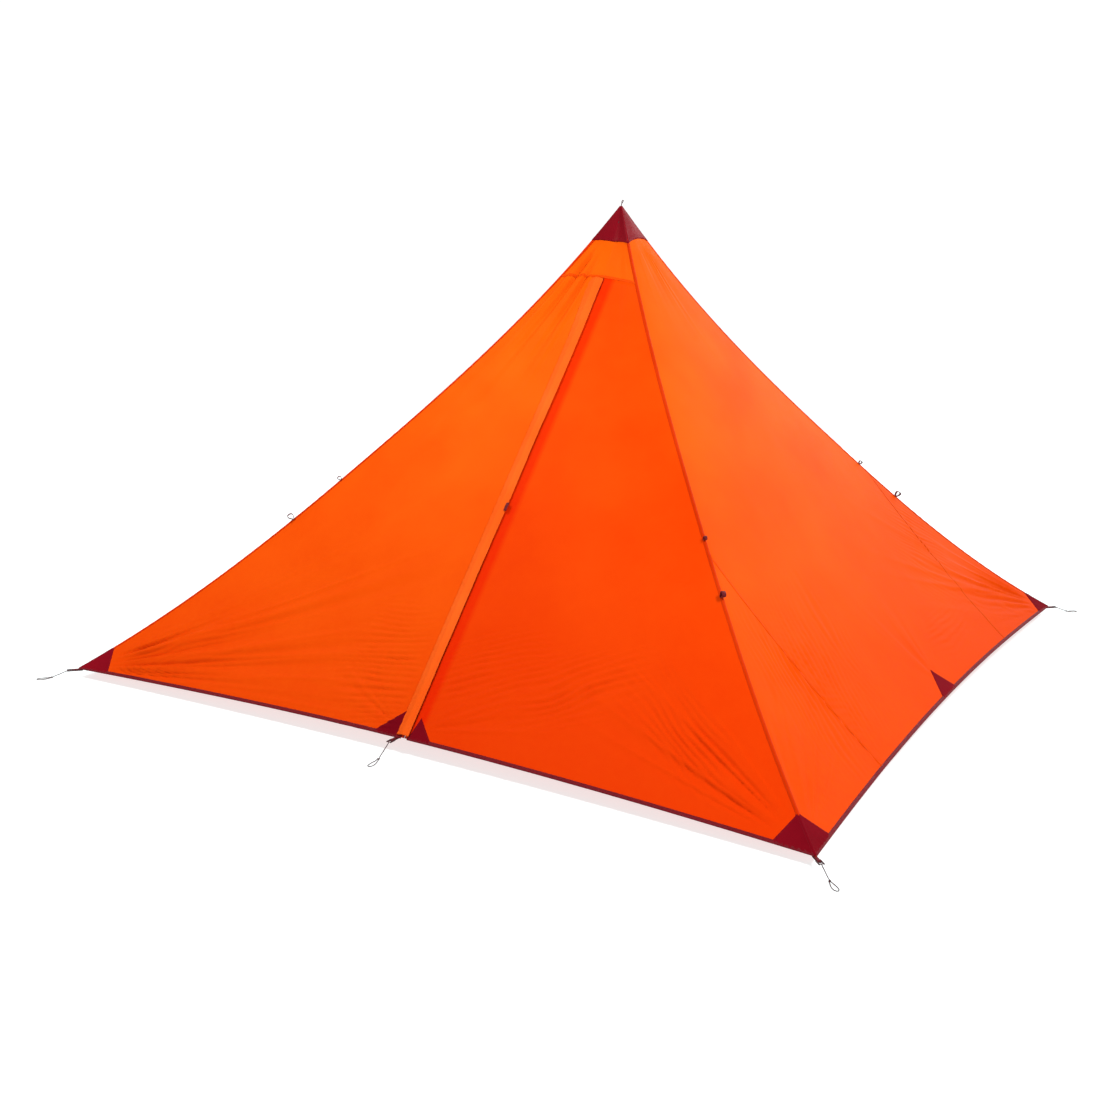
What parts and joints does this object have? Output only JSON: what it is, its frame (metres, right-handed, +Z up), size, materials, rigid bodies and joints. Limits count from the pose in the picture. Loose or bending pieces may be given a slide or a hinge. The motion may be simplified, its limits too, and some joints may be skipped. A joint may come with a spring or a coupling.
{
  "type": "pyramid tarp shelter",
  "caption": "Square pyramid tarp shelter of thin coated cloth on an adjustable centre pole, with a zipped front door, storm flap, ridge loops and stake cords.",
  "frame": {"origin": "on the ground under the peak, at the middle of the square base", "axes": "+Z up; the door wall faces -Y; +X is to the right of someone who looks at the door from outside"},
  "size_m": [2.9488, 2.9488, 1.6683],
  "materials": {
    "canopy_cloth": "thin coated ripstop, satin",
    "trim_cloth": "thin coated ripstop, satin",
    "flap_cloth": "thin coated ripstop, satin",
    "webbing": "woven tape",
    "cord": "braided cord",
    "zip_tape": "woven tape and coil, matte",
    "zip_metal": "dark painted die casting",
    "zip_pull": "moulded, matte",
    "adjuster_plastic": "moulded, matte",
    "pole_plastic": "moulded, fine texture",
    "lever_plastic": "moulded, satin",
    "pole_rubber": "matte",
    "pole_tube": "anodised, satin",
    "pin_steel": "turned"
  },
  "bodies": {
    "canopy": {"front_left_panel": "canopy_cloth", "front_top_panel": "canopy_cloth", "front_right_panel": "canopy_cloth", "right_panel": "canopy_cloth", "right_front_gusset": "canopy_cloth", "right_back_gusset": "canopy_cloth", "back_panel": "canopy_cloth", "back_right_gusset": "canopy_cloth", "back_left_gusset": "canopy_cloth", "left_panel": "canopy_cloth", "left_back_gusset": "canopy_cloth", "left_front_gusset": "canopy_cloth", "peak_cap": "trim_cloth", "corner_patch_front_right": "trim_cloth", "corner_patch_back_right": "trim_cloth", "corner_patch_back_left": "trim_cloth", "corner_patch_front_left": "trim_cloth", "right_hem_patch": "trim_cloth", "back_hem_patch": "trim_cloth", "left_hem_patch": "trim_cloth", "door_patch_left": "trim_cloth", "hem_front_left": "trim_cloth", "hem_front_right": "trim_cloth", "hem_right": "trim_cloth", "hem_back": "trim_cloth", "hem_left": "trim_cloth", "zip_chain_left": "zip_tape", "ridge_loops_upper": "webbing", "ridge_loops_lower": "webbing", "stake_webbing": "webbing", "line_adjusters": "adjuster_plastic", "stake_knots": "cord", "cord_front_right": "cord", "cord_back_right": "cord", "cord_back_left": "cord", "cord_front_left": "cord", "cord_door": "cord", "peak_loop": "cord", "peak_strap": "webbing", "pole_cup": "pole_plastic", "pole_tip": "pole_rubber", "pole_upper_tube": "pole_tube"},
    "door": {"door_panel": "canopy_cloth", "hem_door": "trim_cloth", "door_patch_right": "trim_cloth", "zip_chain_right": "zip_tape"},
    "storm_flap": {"storm_flap": "flap_cloth", "flap_tab": "trim_cloth"},
    "zip_slider": {"zip_slider": "zip_metal"},
    "zip_pull": {"zip_pull": "zip_pull"},
    "pole_middle": {"pole_middle_tube": "pole_tube", "upper_clamp": "pole_plastic", "upper_lever_pin": "pin_steel"},
    "upper_lever": {"upper_lever": "lever_plastic"},
    "pole_lower": {"pole_lower_tube": "pole_tube", "lower_clamp": "pole_plastic", "lower_lever_pin": "pin_steel", "pole_foot": "pole_rubber"},
    "lower_lever": {"lower_lever": "lever_plastic"}
  },
  "joints": [
    {"name": "door_fold", "type": "hinge", "parent": "canopy", "child": "door", "pos_m": [1.15029, -1.36637, 0.03791], "axis": [-0.4922, 0.5823, 0.647], "range_deg": [0, 140], "deforming": ["storm_flap", "flap_tab"]},
    {"name": "flap_lift", "type": "hinge", "parent": "canopy", "child": "storm_flap", "pos_m": [-0.03, -1.33238, 0.05029], "axis": [0, -0.664, -0.7477], "range_deg": [0, 150]},
    {"name": "zip_run", "type": "slide", "parent": "canopy", "child": "zip_slider", "axis": [0, 0.664, 0.7477], "range_m": [0, 1.738]},
    {"name": "pull_swing", "type": "hinge", "parent": "zip_slider", "child": "zip_pull", "pos_m": [-0.00325, -1.30674, 0.08368], "axis": [-1, 0, 0], "range_deg": [0, 160]},
    {"name": "pole_middle_slide", "type": "slide", "parent": "canopy", "child": "pole_middle", "axis": [0, 0, 1], "range_m": [0, 0.36]},
    {"name": "pole_lower_slide", "type": "slide", "parent": "pole_middle", "child": "pole_lower", "axis": [0, 0, 1], "range_m": [0, 0.44]},
    {"name": "upper_lever_open", "type": "hinge", "parent": "pole_middle", "child": "upper_lever", "pos_m": [0.0177, 0, 1.139], "axis": [0, 0, -1], "range_deg": [0, 95]},
    {"name": "lower_lever_open", "type": "hinge", "parent": "pole_lower", "child": "lower_lever", "pos_m": [0.0192, 0, 0.609], "axis": [0, 0, -1], "range_deg": [0, 95]}
  ]
}
